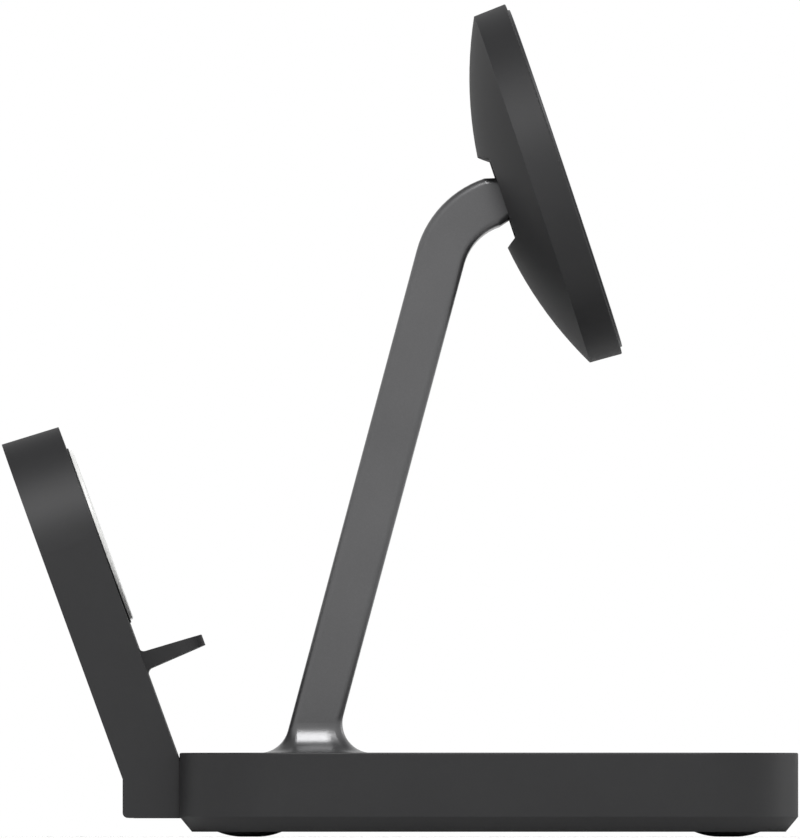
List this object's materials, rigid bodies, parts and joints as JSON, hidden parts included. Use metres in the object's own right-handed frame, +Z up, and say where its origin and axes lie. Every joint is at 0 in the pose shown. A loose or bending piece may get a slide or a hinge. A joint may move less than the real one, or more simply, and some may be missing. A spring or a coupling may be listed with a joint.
{
  "type": "wireless charging stand",
  "caption": "Desk stand that charges a phone, a watch and earbuds: a flat base with a pad, a leaning arm with a round tilting phone head, and a leaning watch panel with ledge and puck.",
  "frame": {"origin": "on the surface the feet stand on, under the middle of the whole object's box", "axes": "+X across the width, the front with the earbuds pad faces -Y, the watch panel is at +Y, +Z up"},
  "size_m": [0.068, 0.1218, 0.1275],
  "materials": {
    "housing": "fine matte, moulded",
    "arm_metal": "satin dark grey coat on cast aluminium",
    "bezel": "fine matte, moulded",
    "puck": "polished",
    "pad": "soft matte silicone",
    "foot": "matte",
    "inner_plastic": "plain moulded",
    "steel": "plain rolled",
    "magnet": "nickel plated",
    "copper": "enamelled wire",
    "ferrite": "dull sintered",
    "board": "solder mask",
    "lead": "matte sheath",
    "washer": "plain nylon"
  },
  "bodies": {
    "stand": {"arm": "arm_metal", "arm_clamp_plate": "steel", "arm_lead": "lead", "arm_screws": "steel", "ballast_plate": "steel", "base_screws": "steel", "base_shell": "housing", "bottom_plate": "housing", "carrier_screws": "steel", "coil_carrier": "inner_plastic", "earbuds_coil": "copper", "earbuds_ferrite": "ferrite", "earbuds_pad": "pad", "foot_front_left": "foot", "foot_front_right": "foot", "foot_rear_left": "foot", "foot_rear_right": "foot", "main_board": "board", "stand_screws": "steel", "usb_c_socket": "steel", "watch_back_cover": "housing", "watch_bezel": "bezel", "watch_board": "board", "watch_board_screws": "steel", "watch_coil": "copper", "watch_ferrite": "ferrite", "watch_leads": "lead", "watch_magnet": "magnet", "watch_puck": "puck", "watch_stand": "housing"},
    "head": {"bracket_screws": "steel", "friction_washer_left": "washer", "friction_washer_right": "washer", "head_board": "board", "head_face_plate": "inner_plastic", "head_shell": "housing", "hinge_bracket": "steel", "hinge_pin_left": "steel", "hinge_pin_right": "steel", "magnet_ring": "magnet", "magnet_shunt": "steel", "phone_coil": "copper", "phone_ferrite": "ferrite", "phone_pad": "pad"}
  },
  "joints": [
    {"name": "head_tilt", "type": "hinge", "parent": "stand", "child": "head", "pos_m": [0, -0.01899, 0.09868], "axis": [-1, 0, 0], "range_deg": [-18, 25]}
  ]
}
